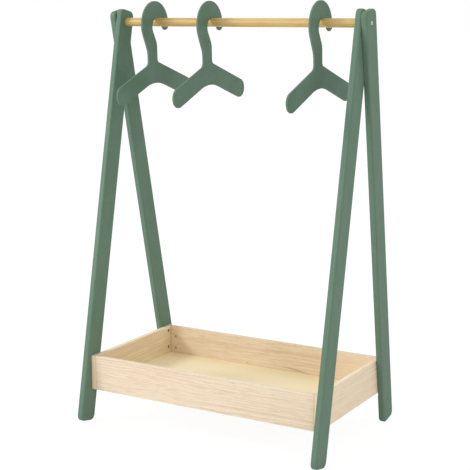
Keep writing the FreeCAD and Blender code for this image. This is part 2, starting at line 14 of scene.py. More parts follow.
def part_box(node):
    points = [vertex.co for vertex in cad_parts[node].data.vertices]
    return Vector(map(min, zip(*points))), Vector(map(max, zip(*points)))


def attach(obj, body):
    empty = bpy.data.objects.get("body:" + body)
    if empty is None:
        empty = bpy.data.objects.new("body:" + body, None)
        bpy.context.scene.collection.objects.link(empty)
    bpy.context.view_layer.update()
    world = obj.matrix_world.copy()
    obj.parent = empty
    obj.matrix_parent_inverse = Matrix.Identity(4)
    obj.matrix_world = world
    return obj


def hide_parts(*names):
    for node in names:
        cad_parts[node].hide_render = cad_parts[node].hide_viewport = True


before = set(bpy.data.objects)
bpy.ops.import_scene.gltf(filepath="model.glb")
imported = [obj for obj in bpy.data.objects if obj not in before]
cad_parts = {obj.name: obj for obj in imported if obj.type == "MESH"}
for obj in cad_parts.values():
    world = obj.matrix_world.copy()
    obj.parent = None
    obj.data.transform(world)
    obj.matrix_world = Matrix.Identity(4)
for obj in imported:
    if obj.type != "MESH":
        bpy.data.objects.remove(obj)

LOG = logging.getLogger("clothing_rack")
LEG_LEAN = 11.28
WHITE = (1.0, 1.0, 1.0, 1.0)

Colour = tuple[float, float, float]
Triple = tuple[float, float, float]
Span = tuple[float, float]
Box = tuple[Vector, Vector]
Place = tuple[Vector, int]
Socket = bpy.types.NodeSocket
Outputs = bpy.types.NodeOutputs
Tree = bpy.types.NodeTree


def tone(red: int, green: int, blue: int) -> Colour:
    """Turn a colour as a screen shows it, from 0 to 255, into linear light."""
    shown = Color([value / 255 for value in (red, green, blue)])
    return tuple(shown.from_srgb_to_scene_linear())


def opaque(colour: Colour) -> tuple[float, float, float, float]:
    """Give a colour its full alpha."""
    return (*colour, 1.0)


def middle(box: Box) -> Vector:
    """Give the middle of a box."""
    return (box[0] + box[1]) / 2


def face_along_x(box: Box, way: int) -> float:
    """Give the place of a box's face that looks one way along X."""
    return box[1].x if way > 0 else box[0].x


class Run(Enum):
    """The way that the grain of a piece runs, as the turn in degrees of the Z axis onto it."""

    LENGTH = (0.0, 90.0, 0.0)
    DEPTH = (-90.0, 0.0, 0.0)
    FRONT_LEG = (-LEG_LEAN, 0.0, 0.0)
    BACK_LEG = (LEG_LEAN, 0.0, 0.0)


class Side(Enum):
    """The two ends of the rack, each with its way along X."""

    LEFT = -1
    RIGHT = 1

    @property
    def word(self) -> str:
        """The word for this side in the names of nodes."""
        return self.name.lower()


class Slot(Enum):
    """A material slot name, which no piece here takes its finish from."""

    STEEL = "steel"


class MixSocket(Enum):
    """The places of a Mix node's colour sockets, because its other kinds share their names."""

    FACTOR = 0
    FIRST = 6
    SECOND = 7
    RESULT = 2


class Graph:
    """A node tree that is wired with short calls."""

    def __init__(self, tree: Tree) -> None:
        """Take over a tree."""
        self.tree = tree

    def feed(self, socket: Socket, value: Any) -> None:
        """Link a socket to another one or give it a fixed value.

        Args:
            socket: The input to feed.
            value: The output that it is linked to, or the value that it takes.
        """
        if isinstance(value, bpy.types.NodeSocket):
            self.tree.links.new(value, socket)
        else:
            socket.default_value = value

    def node(self, kind: str, inputs: dict[str, Any] | None = None, **settings: Any) -> bpy.types.Node:
        """Add a node.

        Args:
            kind: The node's type without its leading words.
            inputs: Values or sockets for the named inputs.
            settings: Other properties of the node.

        Returns:
            The new node.
        """
        made = self.tree.nodes.new(kind if kind.startswith("NodeGroup") else f"ShaderNode{kind}")
        for name, value in settings.items():
            setattr(made, name, value)
        for name, value in (inputs or {}).items():
            self.feed(made.inputs[name], value)
        return made

    def fill(self, node: bpy.types.Node, *values: Any) -> bpy.types.Node:
        """Feed a node's inputs in their order.

        Args:
            node: The node.
            values: Values or sockets for its first inputs.

        Returns:
            The same node.
        """
        for socket, value in zip(node.inputs, values):
            self.feed(socket, value)
        return node

    def math(self, operation: str, *values: Any) -> Socket:
        """Work out a sum of one to three values."""
        return self.fill(self.node("Math", operation=operation), *values).outputs[0]

    def vector(self, operation: str, *values: Any, result: str = "Vector") -> Socket:
        """Work out a vector, or a value of one such as its length."""
        return self.fill(self.node("VectorMath", operation=operation), *values).outputs[result]

    def stretch(self, vector: Socket, *factors: float) -> Socket:
        """Multiply a vector by three factors."""
        return self.vector("MULTIPLY", vector, factors)

    def noise(self, vector: Socket, scale: Any, detail: float = 2.0, roughness: float = 0.5) -> Socket:
        """Give soft noise from 0 to 1."""
        inputs = {"Vector": vector, "Scale": scale, "Detail": detail, "Roughness": roughness}
        return self.node("TexNoise", inputs).outputs[0]

    def ramp(self, value: Socket, span: Span, first: float = 0.0, last: float = 1.0) -> Socket:
        """Ease a value from its own span into the range from first to last."""
        inputs = {"Value": value, "From Min": span[0], "From Max": span[1], "To Min": first, "To Max": last}
        return self.node("MapRange", inputs, interpolation_type="SMOOTHSTEP").outputs[0]

    def mix(self, factor: Socket, first: Any, second: Any) -> Socket:
        """Mix two colours.

        Args:
            factor: The share of the second colour.
            first: The first colour, or a socket that gives it.
            second: The second colour, or a socket that gives it.

        Returns:
            The mixed colour.
        """
        made = self.node("Mix", data_type="RGBA")
        places = (MixSocket.FACTOR, MixSocket.FIRST, MixSocket.SECOND)
        for place, value in zip(places, (factor, first, second)):
            self.feed(made.inputs[place.value], value)
        return made.outputs[MixSocket.RESULT.value]

    def blend_shaders(
        self, share: Socket, first: bpy.types.Node, second: bpy.types.Node, output: str
    ) -> None:
        """Mix two shaders by the second one's share and lead them to a new output node."""
        mixed = self.fill(self.node("MixShader"), share, first.outputs[0], second.outputs[0])
        self.feed(self.node(output).inputs["Surface"], mixed.outputs[0])


def new_effect(
    name: str, inputs: dict[str, float], outputs: tuple[str, ...]
) -> tuple[Graph, Outputs, bpy.types.NodeInputs]:
    """Start a shader node group that reads a vector and some values.

    Args:
        name: The group's name.
        inputs: Named values with their defaults.
        outputs: Names of the values that it puts out.

    Returns:
        The graph of the group, what comes into it, and the inputs of its output node.
    """
    tree = bpy.data.node_groups.new(name, "ShaderNodeTree")
    tree.interface.new_socket("Vector", in_out="INPUT", socket_type="NodeSocketVector")
    for label, value in inputs.items():
        socket = tree.interface.new_socket(label, in_out="INPUT", socket_type="NodeSocketFloat")
        socket.default_value = value
    for label in outputs:
        tree.interface.new_socket(label, in_out="OUTPUT", socket_type="NodeSocketFloat")
    graph = Graph(tree)
    return graph, graph.node("NodeGroupInput").outputs, graph.node("NodeGroupOutput").inputs


@dataclass(frozen=True)
class TimberFigure:
    """The figure of sawn timber about a pith on the Z axis.

    Widths are in metres. The wander, the ripple and the patches are counts to the metre. A value whose name
    ends in along is a share of the scale across the grain.
    """

    ring_spacing: float = 0.006
    waver: float = 0.004
    fibre_width: float = 0.0009
    wander: Triple = (7.0, 7.0, 2.6)
    ripple: Triple = (70.0, 70.0, 11.0)
    ripple_share: Triple = (0.2, 0.2, 0.0)
    uneven_scale: float = 0.45
    uneven_share: float = 2.4
    late_rise: Span = (0.3, 0.9)
    late_fall: Span = (0.9, 1.0)
    faint_patches: Triple = (10.0, 10.0, 1.3)
    faint_span: Span = (0.36, 0.66)
    faintest: float = 0.1
    streak_scale: float = 0.42
    streak_along: float = 0.045
    fibre_along: float = 0.05
    pore_scale: float = 1.4
    pore_along: float = 0.09
    pore_span: Span = (0.6, 0.74)
    pore_zone: Span = (0.0, 0.5)
    fewest_pores: float = 0.35
    tint_patches: Triple = (17.0, 17.0, 2.4)

    def build(self) -> Tree:
        """Build the group.

        Returns:
            A group that puts out rings, streaks, fibres, pores and a slow tint, each from 0 to 1.
        """
        sizes = {"Ring Spacing": self.ring_spacing, "Waver": self.waver, "Fibre Width": self.fibre_width}
        graph, given, out = new_effect("timber figure", sizes, ("Ring", "Streak", "Fibre", "Pore", "Tint"))
        place = given["Vector"]
        bent = self.bend(graph, place, given["Waver"])
        phase = self.phase(graph, bent, given["Ring Spacing"])
        fine = graph.math("DIVIDE", 1.0, given["Fibre Width"])
        coarse = graph.math("MULTIPLY", fine, self.streak_scale)
        streaks = graph.stretch(bent, 1.0, 1.0, self.streak_along)
        fibres = graph.stretch(place, 1.0, 1.0, self.fibre_along)
        tints = graph.stretch(place, *self.tint_patches)
        graph.feed(out["Ring"], self.rings(graph, place, phase))
        graph.feed(out["Streak"], graph.noise(streaks, coarse, detail=4.0, roughness=0.65))
        graph.feed(out["Fibre"], graph.noise(fibres, fine, roughness=0.6))
        graph.feed(out["Pore"], self.pores(graph, place, phase, fine))
        graph.feed(out["Tint"], graph.noise(tints, 1.0, detail=3.0, roughness=0.55))
        return graph.tree

    def bend(self, graph: Graph, place: Socket, waver: Socket) -> Socket:
        """Let the pith wander slowly along the trunk and the rings ripple a little about it.

        Args:
            graph: The group's graph.
            place: The coordinates about a straight pith.
            waver: How far the pith wanders, in metres.

        Returns:
            The bent coordinates.
        """
        slow = graph.node("TexNoise", {"Vector": graph.stretch(place, *self.wander), "Scale": 1.0})
        quick = graph.node("TexNoise", {"Vector": graph.stretch(place, *self.ripple), "Scale": 1.0})
        drift = graph.vector("MULTIPLY_ADD", quick.outputs["Color"], self.ripple_share, slow.outputs["Color"])
        return graph.vector("MULTIPLY_ADD", drift, waver, place)

    def phase(self, graph: Graph, bent: Socket, spacing: Socket) -> Socket:
        """Give how far a point lies within its ring, where the rings are unevenly wide.

        Args:
            graph: The group's graph.
            bent: The bent coordinates.
            spacing: The usual width of a ring, in metres.

        Returns:
            A share of the ring, from 0 to 1.
        """
        radius = graph.vector("LENGTH", graph.stretch(bent, 1.0, 1.0, 0.0), result="Value")
        count = graph.math("DIVIDE", radius, spacing)
        line = graph.node("CombineXYZ", {"X": count}).outputs[0]
        uneven = graph.noise(line, self.uneven_scale, detail=1.0)
        return graph.math("FRACT", graph.math("MULTIPLY_ADD", uneven, self.uneven_share, count))

    def rings(self, graph: Graph, place: Socket, phase: Socket) -> Socket:
        """Darken each ring towards its end, more in some places than in others.

        Args:
            graph: The group's graph.
            place: The coordinates about a straight pith.
            phase: The share of the ring.

        Returns:
            A share from 0 to 1.
        """
        rise = graph.ramp(phase, self.late_rise)
        fall = graph.ramp(phase, self.late_fall, 1.0, 0.0)
        patches = graph.noise(graph.stretch(place, *self.faint_patches), 1.0)
        fade = graph.ramp(patches, self.faint_span, self.faintest, 1.0)
        return graph.math("MULTIPLY", graph.math("MULTIPLY", rise, fall), fade)

    def pores(self, graph: Graph, place: Socket, phase: Socket, fine: Socket) -> Socket:
        """Make short pores, most of which sit at the start of a ring.

        Args:
            graph: The group's graph.
            place: The coordinates about a straight pith.
            phase: The share of the ring.
            fine: The scale of the fibres.

        Returns:
            A share from 0 to 1.
        """
        scale = graph.math("MULTIPLY", fine, self.pore_scale)
        dashes = graph.noise(graph.stretch(place, 1.0, 1.0, self.pore_along), scale, detail=0.0)
        zone = graph.ramp(phase, self.pore_zone, 1.0, self.fewest_pores)
        return graph.math("MULTIPLY", graph.ramp(dashes, self.pore_span), zone)


@dataclass(frozen=True)
class CoatFilm:
    """The slight unevenness of a film of paint or lacquer, or of turned metal."""

    peel_size: float = 0.0025
    cloud_scale: float = 14.0

    def build(self) -> Tree:
        """Build the group.

        Returns:
            A group that puts out a fine peel and slow clouds, each from 0 to 1.
        """
        graph, given, out = new_effect("coat film", {"Peel Size": self.peel_size}, ("Peel", "Cloud"))
        fine = graph.math("DIVIDE", 1.0, given["Peel Size"])
        graph.feed(out["Peel"], graph.noise(given["Vector"], fine, detail=1.0, roughness=0.4))
        graph.feed(out["Cloud"], graph.noise(given["Vector"], self.cloud_scale, detail=3.0, roughness=0.6))
        return graph.tree


@dataclass(frozen=True)
class Effects:
    """The node groups that the finishes share."""

    figure: Tree
    film: Tree


class Coating(Protocol):
    """Any finish that can be mixed for a node."""

    @property
    def name(self) -> str:
        """The plain name of the finish."""

    def material(self, effects: Effects, node: str) -> bpy.types.Material:
        """Mix the material for a node."""


class Finish:
    """A material in the making: its graph, its shader and the coordinates of its piece."""

    def __init__(self, name: str) -> None:
        """Start a material with a principled shader on the piece's own coordinates.

        Args:
            name: The material's name.
        """
        self.material = bpy.data.materials.new(name)
        self.material.use_nodes = True
        self.graph = Graph(self.material.node_tree)
        self.shader = self.material.node_tree.nodes["Principled BSDF"]
        self.place = self.graph.node("TexCoord").outputs["Object"]

    def turned(self, run: Run, pith: Vector, lean: float = 0.0) -> Socket:
        """Give coordinates whose Z axis is the pith that the grain runs along.

        Args:
            run: The way of the grain.
            pith: A point on the pith, in the frame of the rack.
            lean: Further turn about the Y axis, in degrees.

        Returns:
            The turned coordinates.
        """
        degrees = Vector(run.value) + Vector((0.0, lean, 0.0))
        turn = Euler([math.radians(angle) for angle in degrees])
        inputs = {"Vector": self.place, "Location": pith, "Rotation": turn}
        return self.graph.node("Mapping", inputs, vector_type="TEXTURE").outputs[0]

    def effect(self, tree: Tree, vector: Socket, **values: float) -> Outputs:
        """Place a shared effect.

        Args:
            tree: The effect's group.
            vector: The coordinates that it reads.
            values: Its other inputs, where a name's underscores stand for spaces.

        Returns:
            What the effect puts out.
        """
        made = self.graph.node("Group", node_tree=tree)
        self.graph.feed(made.inputs["Vector"], vector)
        for name, value in values.items():
            made.inputs[name.replace("_", " ").title()].default_value = value
        return made.outputs

    def relief(self, height: Socket, depth: float, strength: float) -> None:
        """Raise the surface by a height from 0 to 1, where 1 stands for a depth in metres."""
        inputs = {"Height": height, "Distance": depth, "Strength": strength}
        self.graph.feed(self.shader.inputs["Normal"], self.graph.node("Bump", inputs).outputs[0])

    def set(self, **values: Any) -> None:
        """Set or link the shader's inputs.

        Args:
            values: A value or a socket for each input, where a name's underscores stand for spaces.
        """
        for name, value in values.items():
            label = name.replace("_", " ").title().replace("Ior", "IOR")
            self.graph.feed(self.shader.inputs[label], value)


@dataclass(frozen=True)
class SatinPaint:
    """Satin paint over planed wood, whose pith is given from the piece's middle, or over plain board."""

    name: str
    light: Colour
    dark: Colour
    run: Run | None = None
    pith: Triple = (0.03, 0.02, 0.0)
    roughness: float = 0.42
    gloss_spread: float = 0.12
    coat: float = 0.27
    coat_roughness: float = 0.2
    peel_size: float = 0.0022
    cloud_span: Span = (0.3, 0.7)
    fibre_width: float = 0.0016
    streak_share: float = 0.5
    fibre_lift: float = 0.8
    relief_depth: float = 0.00012
    relief_strength: float = 0.35

    def material(self, effects: Effects, node: str) -> bpy.types.Material:
        """Mix the paint for a node.

        Args:
            effects: The shared effects.
            node: The node's name.

        Returns:
            The material.
        """
        finish = Finish(f"{self.name}_{node}")
        graph = finish.graph
        film = finish.effect(effects.film, finish.place, peel_size=self.peel_size)
        shade = graph.ramp(film["Cloud"], self.cloud_span)
        height = film["Peel"]
        if self.run:
            vector = finish.turned(self.run, middle(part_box(node)) + Vector(self.pith))
            grain = finish.effect(effects.figure, vector, fibre_width=self.fibre_width)
            clouds = graph.math("MULTIPLY", shade, 1.0 - self.streak_share)
            shade = graph.math("MULTIPLY_ADD", grain["Streak"], self.streak_share, clouds)
            height = graph.math("MULTIPLY_ADD", grain["Fibre"], self.fibre_lift, height)
        colour = graph.mix(shade, opaque(self.dark), opaque(self.light))
        least = self.roughness - self.gloss_spread / 2
        gloss = graph.math("MULTIPLY_ADD", film["Cloud"], self.gloss_spread, least)
        # The sheen is all in the coat, so that the pigment under it stays matt
        finish.set(base_color=colour, roughness=gloss, specular_ior_level=0.0, coat_weight=self.coat,
                   coat_roughness=self.coat_roughness)
        finish.relief(height, self.relief_depth, self.relief_strength)
        return finish.material


@dataclass(frozen=True)
class Mark:
    """A knot, a dark curl or a patch of sapwood in the figure of a board."""

    tint: Colour
    place: Triple
    across: float
    along: float
    share: float
    lean: float = 0.0
    fade: Span = (0.3, 1.0)


@dataclass(frozen=True)
class Stock:
    """The colours of a kind of timber."""

    early: Colour
    late: Colour
    blush: Colour
    end: Colour
    pore: Colour
    # A lighter tone on the top edge: a painted highlight where light from above falls.
    painted_top_highlight: Colour = tone(252, 238, 216)


@dataclass(frozen=True)
class ClearTimber:
    """Timber under a thin clear lacquer, whose pith is given from the piece's middle."""

    name: str
    stock: Stock
    run: Run
    pith: Triple
    ring_spacing: float = 0.0055
    waver: float = 0.012
    fibre_width: float = 0.0009
    blush_share: float = 0.7
    blush_span: Span = (0.38, 0.68)
    ring_share: float = 0.4
    streak_share: float = 0.45
    streak_span: Span = (0.46, 0.7)
    fibre_share: float = 0.25
    fibre_span: Span = (0.5, 0.75)
    pore_share: float = 0.2
    # The share and depth of the painted highlight along the top edge.
    top_highlight_share: float = 0.0
    top_highlight_depth: float = 0.0025
    end_share: float = 0.8
    end_depth: float = 0.0008
    marks: tuple[Mark, ...] = ()
    roughness: float = 0.55
    ring_gloss: float = -0.08
    cloud_gloss: float = 0.1
    coat: float = 0.05
    coat_roughness: float = 0.3
    ring_lift: float = 0.4
    pore_lift: float = -0.8
    relief_depth: float = 0.00008
    relief_strength: float = 0.4

    def material(self, effects: Effects, node: str) -> bpy.types.Material:
        """Saw and lacquer the timber for a node.

        Args:
            effects: The shared effects.
            node: The node's name.

        Returns:
            The material.
        """
        finish = Finish(f"{self.name}_{node}")
        graph = finish.graph
        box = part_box(node)
        vector = finish.turned(self.run, middle(box) + Vector(self.pith))
        grain = finish.effect(effects.figure, vector, ring_spacing=self.ring_spacing, waver=self.waver,
                              fibre_width=self.fibre_width)
        film = finish.effect(effects.film, finish.place)
        colour = opaque(self.stock.early)
        for share, tint in self.layers(finish, grain, box):
            colour = graph.mix(share, colour, opaque(tint))
        gloss = graph.math("MULTIPLY_ADD", grain["Ring"], self.ring_gloss, self.roughness)
        gloss = graph.math("MULTIPLY_ADD", film["Cloud"], self.cloud_gloss, gloss)
        finish.set(base_color=colour, roughness=gloss, coat_weight=self.coat,
                   coat_roughness=self.coat_roughness)
        height = graph.math("MULTIPLY_ADD", grain["Ring"], self.ring_lift, grain["Fibre"])
        height = graph.math("MULTIPLY_ADD", grain["Pore"], self.pore_lift, height)
        finish.relief(height, self.relief_depth, self.relief_strength)
        return finish.material

    def layers(self, finish: Finish, grain: Outputs, box: Box) -> list[tuple[Socket, Colour]]:
        """Give the tints that lie over the early wood, from the lowest up.

        Args:
            finish: The material in the making.
            grain: What the timber figure puts out.
            box: The piece's lowest and highest corners.

        Returns:
            The share and the colour of each tint.
        """
        graph, stock = finish.graph, self.stock
        return [
            (graph.ramp(grain["Tint"], self.blush_span, 0.0, self.blush_share), stock.blush),
            (graph.math("MULTIPLY", grain["Ring"], self.ring_share), stock.late),
            (graph.ramp(grain["Streak"], self.streak_span, 0.0, self.streak_share), stock.late),
            (graph.ramp(grain["Fibre"], self.fibre_span, 0.0, self.fibre_share), stock.late),
            (graph.math("MULTIPLY", grain["Pore"], self.pore_share), stock.pore),
            # Painted highlight along the top edge.
            (self.top_highlight_mask(finish, box), stock.painted_top_highlight),
            # End grain, and on the back board painted shade in its joints.
            (self.end_grain_and_joint_shade(finish, box), stock.end),
            *((self.spot(finish, mark), mark.tint) for mark in self.marks),
        ]

    def top_highlight_mask(self, finish: Finish, box: Box) -> Socket:
        """Give the share of the top edge that is painted lighter: a painted highlight where light from above
        falls.
        """
        height = finish.graph.node("SeparateXYZ", {"Vector": finish.place}).outputs["Z"]
        return finish.graph.ramp(height, (box[1].z - self.top_highlight_depth, box[1].z), 0.0, self.top_highlight_share)

    def end_grain_and_joint_shade(self, finish: Finish, box: Box) -> Socket:
        """Give the share of end grain, which shows where the piece is cut across; on the back board its dark
        tone is also painted shade in the joints at its ends.

        Args:
            finish: The material in the making.
            box: The piece's lowest and highest corners.

        Returns:
            A share from 0 to 1.
        """
        graph = finish.graph
        along = graph.node("SeparateXYZ", {"Vector": finish.turned(self.run, middle(box))}).outputs["Z"]
        size = box[1] - box[0]
        half = (size.x if self.run is Run.LENGTH else size.y) / 2
        return graph.ramp(graph.math("ABSOLUTE", along), (half - self.end_depth, half), 0.0, self.end_share)

    def spot(self, finish: Finish, mark: Mark) -> Socket:
        """Give the share of a mark's own colour.

        Args:
            finish: The material in the making.
            mark: The mark.

        Returns:
            A share from 0 to 1.
        """
        graph = finish.graph
        about = finish.turned(self.run, Vector(mark.place), mark.lean)
        shrunk = graph.stretch(about, 1 / mark.across, 1 / mark.across, 1 / mark.along)
        away = graph.vector("LENGTH", shrunk, result="Value")
        return graph.ramp(away, mark.fade, mark.share, 0.0)


@dataclass(frozen=True)
class TurnedMetal:
    """Plated or plain turned metal."""

    name: str
    light: Colour
    dark: Colour
    roughness: float = 0.34
    gloss_spread: float = 0.16
    peel_size: float = 0.0006
    relief_depth: float = 0.00002
    relief_strength: float = 0.3

    def material(self, effects: Effects, node: str) -> bpy.types.Material:
        """Turn the metal for a node.

        Args:
            effects: The shared effects.
            node: The node's name.

        Returns:
            The material.
        """
        finish = Finish(f"{self.name}_{node}")
        graph = finish.graph
        film = finish.effect(effects.film, finish.place, peel_size=self.peel_size)
        colour = graph.mix(film["Peel"], opaque(self.dark), opaque(self.light))
        least = self.roughness - self.gloss_spread / 2
        gloss = graph.math("MULTIPLY_ADD", film["Peel"], self.gloss_spread, least)
        finish.set(base_color=colour, roughness=gloss, metallic=1.0)
        finish.relief(film["Peel"], self.relief_depth, self.relief_strength)
        return finish.material


def dress(node: str, finish: Coating, effects: Effects) -> None:
    """Give a node its finish.

    Args:
        node: The node's name.
        finish: The finish that mixes its material.
        effects: The shared effects.
    """
    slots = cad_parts[node].data.materials
    slots.clear()
    slots.append(finish.material(effects, node))
    LOG.info("dressed %s in %s", node, finish.name)


HONEY = Stock(
    early=tone(219, 187, 113), late=tone(183, 141, 72), blush=tone(205, 168, 95), end=tone(168, 124, 66),
    pore=tone(150, 106, 50),
)
PALE_FRONT = Stock(
    early=tone(236, 218, 193), late=tone(212, 188, 156), blush=tone(232, 208, 180), end=tone(233, 210, 171),
    pore=tone(184, 150, 114),
)
# The back board's end tone is dark: end grain plus painted shade in the joints where it meets the side
# boards.
PALE_BACK = Stock(
    early=tone(235, 216, 188), late=tone(206, 179, 146), blush=tone(230, 205, 173), end=tone(122, 90, 56),
    pore=tone(158, 122, 84),
)
# The side boards are lighter than the front and back boards: partly their own tone, partly painted light that
# fills the shade on their faces and ends.
PALE_LEFT = Stock(
    early=tone(246, 229, 198), late=tone(218, 193, 157), blush=tone(241, 217, 181), end=tone(244, 218, 187),
    pore=tone(184, 150, 108),
)
# Lighter again: partly its own tone, partly painted light on this board's outer face.
PALE_RIGHT = Stock(
    early=tone(250, 231, 201), late=tone(229, 202, 169), blush=tone(249, 222, 194), end=tone(240, 218, 184),
    pore=tone(192, 160, 128),
)
PLY = Stock(
    early=tone(247, 232, 194), late=tone(238, 218, 174), blush=tone(242, 225, 182), end=tone(226, 202, 158),
    pore=tone(226, 202, 158),
)
SAPWOOD = Mark(tone(238, 220, 198), place=(0.29, 0.164, 0.125), across=0.1, along=0.16, share=0.65)
KNOT = Mark(PALE_BACK.pore, place=(-0.0619, 0.164, 0.0979), across=0.0022, along=0.004, share=0.45)
CURL = Mark(PALE_BACK.pore, place=(0.08, 0.164, 0.0997), across=0.003, along=0.05, share=0.5, lean=6.0)


@dataclass
class Legs:
    """The four painted battens."""

    runs: tuple[tuple[str, Run], ...] = (("front", Run.FRONT_LEG), ("back", Run.BACK_LEG))
    paint: SatinPaint = SatinPaint("green_paint", light=tone(107, 133, 114), dark=tone(99, 125, 106))

    def dress(self, effects: Effects) -> None:
        """Paint every leg, with its grain along it.

        Args:
            effects: The shared effects.
        """
        for side in Side:
            for end, run in self.runs:
                dress(f"{end}_leg_{side.word}", replace(self.paint, run=run), effects)


@dataclass
class Hangers:
    """The flat painted hangers, which are cut from board without a grain."""

    names: tuple[str, ...] = ("left", "middle", "right")
    # A slightly darker copy of the leg paint: painted shade on the hangers.
    paint: SatinPaint = SatinPaint("green_paint", light=tone(105, 131, 113), dark=tone(98, 124, 105))

    def dress(self, effects: Effects) -> None:
        """Paint every hanger."""
        for name in self.names:
            dress(f"hanger_{name}", self.paint, effects)


@dataclass
class Bar:
    """The honey-coloured hanging bar."""

    timber: ClearTimber = ClearTimber(
        "honey", HONEY, Run.LENGTH, pith=(0.0, 0.013, -0.02), ring_spacing=0.004, waver=0.004,
        ring_share=0.55, streak_share=0.6, roughness=0.4, coat=0.5,
    )

    def dress(self, effects: Effects) -> None:
        """Lacquer the bar, with its grain along it."""
        dress("hanging_bar", self.timber, effects)


@dataclass
class Tray:
    """The pale boards and the thin bottom of the tray, each sawn at another place in the trunk."""

    front: ClearTimber = ClearTimber(
        "pale", PALE_FRONT, Run.LENGTH, pith=(0.3, 0.07, -0.09), waver=0.03, ring_share=0.9, streak_share=0.8,
        # The front board's top edge gets a painted highlight.
        top_highlight_share=0.2,
    )
    back: ClearTimber = ClearTimber(
        "pale", PALE_BACK, Run.LENGTH, pith=(0.15, 0.05, 0.03), ring_share=0.5, streak_share=0.7,
        # A wider end, whose dark tone paints shade into the joints.
        end_depth=0.0016, marks=(SAPWOOD, KNOT, CURL),
    )
    left: ClearTimber = ClearTimber(
        "pale", PALE_LEFT, Run.DEPTH, pith=(0.05, 0.2, 0.02), ring_share=0.6, streak_share=0.75,
    )
    right: ClearTimber = ClearTimber(
        "pale", PALE_RIGHT, Run.DEPTH, pith=(-0.045, 0.1, -0.03), ring_share=0.5, streak_share=0.7,
    )
    bottom: ClearTimber = ClearTimber(
        "ply", PLY, Run.LENGTH, pith=(0.0, 0.1, -0.5), ring_spacing=0.012, waver=0.02, ring_share=0.3,
    )

    def dress(self, effects: Effects) -> None:
        """Lacquer the boards and the bottom.

        Args:
            effects: The shared effects.
        """
        for node, timber in (
            ("tray_front_board", self.front),
            ("tray_back_board", self.back),
            ("tray_side_board_left", self.left),
            ("tray_side_board_right", self.right),
            ("tray_bottom_panel", self.bottom),
        ):
            dress(node, timber, effects)


def edges_between(shape: bmesh.types.BMesh, verts: list[bmesh.types.BMVert]) -> list[bmesh.types.BMEdge]:
    """Give a mesh's edges that have both ends among some vertices, in the mesh's own order."""
    chosen = set(verts)
    return [edge for edge in shape.edges if chosen.issuperset(edge.verts)]


@dataclass(frozen=True)
class SocketScrew:
    """A screw with a domed head and a socket of flat sides, upright with its rim at height 0."""

    head_radius: float
    head_height: float
    dome: float
    socket_width: float
    socket_depth: float
    shank_radius: float
    length: float
    socket_sides: int = 6
    segments: int = 48
    dome_steps: int = 7
    land_share: float = 1.2

    def build(self) -> bpy.types.Mesh:
        """Turn the screw.

        Returns:
            A mesh with the head upwards.
        """
        shape = bmesh.new()
        corner = self.socket_width / 2 / math.cos(math.pi / self.socket_sides)
        bmesh.ops.create_circle(shape, segments=self.socket_sides, radius=corner)
        bmesh.ops.subdivide_edges(shape, edges=shape.edges[:], cuts=self.segments // self.socket_sides - 1)
        bmesh.ops.translate(shape, vec=(0.0, 0.0, self.dome), verts=shape.verts)
        mouth = shape.edges[:]
        floor = self.grow(shape, mouth, corner, self.dome - self.socket_depth)
        bmesh.ops.contextual_create(shape, geom=floor)
        land = corner * self.land_share
        ring = bmesh.ops.create_circle(shape, segments=self.segments, radius=land)["verts"]
        bmesh.ops.translate(shape, vec=(0.0, 0.0, self.dome), verts=ring)
        edge = edges_between(shape, ring)
        bmesh.ops.bridge_loops(shape, edges=mouth + edge)
        for step in range(1, self.dome_steps + 1):
            turn = math.pi / 2 * step / self.dome_steps
            radius = land + (self.head_radius - land) * math.sin(turn)
            edge = self.grow(shape, edge, radius, self.dome * math.cos(turn))
        for radius, height in (
            (self.head_radius, -self.head_height),
            (self.shank_radius, -self.head_height),
            (self.shank_radius, -self.length),
        ):
            edge = self.grow(shape, edge, radius, height)
        bmesh.ops.contextual_create(shape, geom=edge)
        bmesh.ops.recalc_face_normals(shape, faces=shape.faces)
        mesh = bpy.data.meshes.new("socket_screw")
        shape.to_mesh(mesh)
        shape.free()
        return mesh

    @staticmethod
    def grow(
        shape: bmesh.types.BMesh, loop: list[bmesh.types.BMEdge], radius: float, height: float
    ) -> list[bmesh.types.BMEdge]:
        """Extrude a loop of edges to another radius and height.

        Args:
            shape: The mesh in the making.
            loop: The edges to extrude.
            radius: How far the new loop's widest corners lie from the axis.
            height: The new loop's height.

        Returns:
            The edges of the new loop.
        """
        made = bmesh.ops.extrude_edge_only(shape, edges=loop)["geom"]
        verts = [item for item in made if isinstance(item, bmesh.types.BMVert)]
        factor = radius / max(vert.co.xy.length for vert in verts)
        bmesh.ops.scale(shape, vec=(factor, factor, 1.0), verts=verts)
        bmesh.ops.translate(shape, vec=(0.0, 0.0, height - verts[0].co.z), verts=verts)
        return edges_between(shape, verts)


def place_copies(template: bpy.types.Mesh, places: list[Place]) -> bmesh.types.BMesh:
    """Lay copies of an upright mesh along X.

    Args:
        template: The upright mesh.
        places: Where each copy's origin goes, and the way along X that its top faces.

    Returns:
        One mesh of all copies.
    """
    shape = bmesh.new()
    for place, way in places:
        count = len(shape.verts)
        shape.from_mesh(template)
        shape.verts.ensure_lookup_table()
        turn = Matrix.Rotation(math.radians(90.0 * way), 4, "Y")
        bmesh.ops.transform(shape, matrix=Matrix.Translation(place) @ turn, verts=shape.verts[count:])
    return shape


